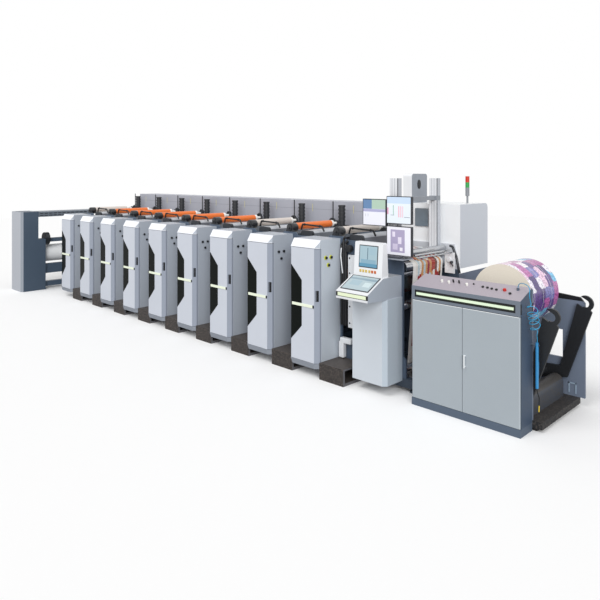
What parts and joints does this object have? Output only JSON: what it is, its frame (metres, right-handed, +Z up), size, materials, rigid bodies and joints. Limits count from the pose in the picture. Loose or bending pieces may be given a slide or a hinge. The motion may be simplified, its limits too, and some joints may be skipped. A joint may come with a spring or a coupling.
{
  "type": "flexographic printing press",
  "caption": "Inline flexographic printing press with print units, slanted-window housings, unwinder, console, displays and a shaft rewinder with lift arms.",
  "frame": {"origin": "centre of the floor plan, on the floor", "axes": "+X along the line towards the rewinder, +Y to the drive side, +Z up"},
  "size_m": [11.6645, 2.835, 2.545],
  "materials": {
    "housing_grey": "satin",
    "door_grey": "satin",
    "dark_grey": "satin",
    "black_steel": "satin",
    "bare_steel": "brushed",
    "white_paint": "satin",
    "wall_grey": "satin",
    "orange_sleeve": "gloss",
    "rubber_roller": "matte",
    "paper": "matte",
    "printed_paper": "gloss",
    "tread": "matte",
    "screen_black": "gloss",
    "light_tube": "lit",
    "button_yellow": "satin",
    "lamp": "gloss",
    "blue_plastic": "gloss"
  },
  "bodies": {
    "press": {"air_hose": "blue_plastic", "air_hose_coil": "blue_plastic", "anilox_rollers": "black_steel", "base_cross_beams": "dark_grey", "base_frame": "dark_grey", "blow_gun": "blue_plastic", "blower_motors": "black_steel", "console_desk": "white_paint", "console_housing": "door_grey", "console_screen": "white_paint", "cross_shaft_cover": "dark_grey", "delivery_housing": "white_paint", "delivery_side_plates": "dark_grey", "display_portal": "white_paint", "displays": "screen_black", "drive_cabinets": "wall_grey", "drive_housings": "dark_grey", "drive_side_plates": "dark_grey", "dryer_hoods": "dark_grey", "exhaust_box": "white_paint", "idler_rollers": "bare_steel", "impression_rollers": "rubber_roller", "ink_trays": "bare_steel", "keyboard_tray": "dark_grey", "levelling_feet": "dark_grey", "operator_housings": "housing_grey", "operator_side_plates": "dark_grey", "plate_cylinders": "bare_steel", "print_sleeves": "orange_sleeve", "rewinder_base": "tread", "rewinder_cabinet": "dark_grey", "rewinder_light_bar": "light_tube", "rewinder_side_plates": "dark_grey", "sleeve_pedestals": "black_steel", "stack_light": "lamp", "steps": "tread", "stop_buttons": "button_yellow", "tie_bars": "bare_steel", "unwind_chucks": "black_steel", "unwinder_beam": "dark_grey", "unwinder_frame": "dark_grey", "unwinder_rollers": "bare_steel", "web_delivery_run": "printed_paper", "web_top_run": "paper"},
    "door_1": {"housing_door_1": "door_grey"},
    "door_2": {"housing_door_2": "door_grey"},
    "door_3": {"housing_door_3": "door_grey"},
    "door_4": {"housing_door_4": "door_grey"},
    "door_5": {"housing_door_5": "door_grey"},
    "door_6": {"housing_door_6": "door_grey"},
    "door_7": {"housing_door_7": "door_grey"},
    "door_8": {"housing_door_8": "door_grey"},
    "door_9": {"housing_door_9": "door_grey"},
    "cabinet_door_left": {"rewinder_door_left": "housing_grey"},
    "cabinet_door_right": {"rewinder_door_right": "housing_grey"},
    "reel": {"rewind_reel": "printed_paper", "rewind_shaft": "bare_steel"},
    "arms": {"lift_arms": "black_steel"},
    "paper_roll": {"unwind_roll": "paper", "unwind_shaft": "bare_steel"}
  },
  "joints": [
    {"name": "door_1_swing", "type": "hinge", "parent": "press", "child": "door_1", "pos_m": [-4.34426, -0.9165, 0.89], "axis": [0, 0, -1], "range_deg": [0, 110]},
    {"name": "door_2_swing", "type": "hinge", "parent": "press", "child": "door_2", "pos_m": [-3.47426, -0.9165, 0.89], "axis": [0, 0, -1], "range_deg": [0, 110]},
    {"name": "door_3_swing", "type": "hinge", "parent": "press", "child": "door_3", "pos_m": [-2.60426, -0.9165, 0.89], "axis": [0, 0, -1], "range_deg": [0, 110]},
    {"name": "door_4_swing", "type": "hinge", "parent": "press", "child": "door_4", "pos_m": [-1.73426, -0.9165, 0.89], "axis": [0, 0, -1], "range_deg": [0, 110]},
    {"name": "door_5_swing", "type": "hinge", "parent": "press", "child": "door_5", "pos_m": [-0.86426, -0.9165, 0.89], "axis": [0, 0, -1], "range_deg": [0, 110]},
    {"name": "door_6_swing", "type": "hinge", "parent": "press", "child": "door_6", "pos_m": [0.00574, -0.9165, 0.89], "axis": [0, 0, -1], "range_deg": [0, 110]},
    {"name": "door_7_swing", "type": "hinge", "parent": "press", "child": "door_7", "pos_m": [0.87574, -0.9165, 0.89], "axis": [0, 0, -1], "range_deg": [0, 110]},
    {"name": "door_8_swing", "type": "hinge", "parent": "press", "child": "door_8", "pos_m": [1.74574, -0.9165, 0.89], "axis": [0, 0, -1], "range_deg": [0, 110]},
    {"name": "door_9_swing", "type": "hinge", "parent": "press", "child": "door_9", "pos_m": [2.61574, -0.9165, 0.89], "axis": [0, 0, -1], "range_deg": [0, 110]},
    {"name": "cabinet_door_left_swing", "type": "hinge", "parent": "press", "child": "cabinet_door_left", "pos_m": [4.35674, -0.7475, 0.62], "axis": [0, 0, -1], "range_deg": [0, 105]},
    {"name": "cabinet_door_right_swing", "type": "hinge", "parent": "press", "child": "cabinet_door_right", "pos_m": [5.56374, -0.7475, 0.62], "axis": [0, 0, 1], "range_deg": [0, 105]},
    {"name": "reel_spin", "type": "hinge", "parent": "press", "child": "reel", "pos_m": [5.17774, 0, 1.245], "axis": [0, 1, 0], "continuous": true},
    {"name": "paper_roll_spin", "type": "hinge", "parent": "press", "child": "paper_roll", "pos_m": [-4.98726, 0, 0.8], "axis": [0, 1, 0], "continuous": true},
    {"name": "arms_lift", "type": "hinge", "parent": "press", "child": "arms", "pos_m": [5.29974, 0, 0.33], "axis": [0, -1, 0], "range_deg": [-50, 36.5]}
  ]
}
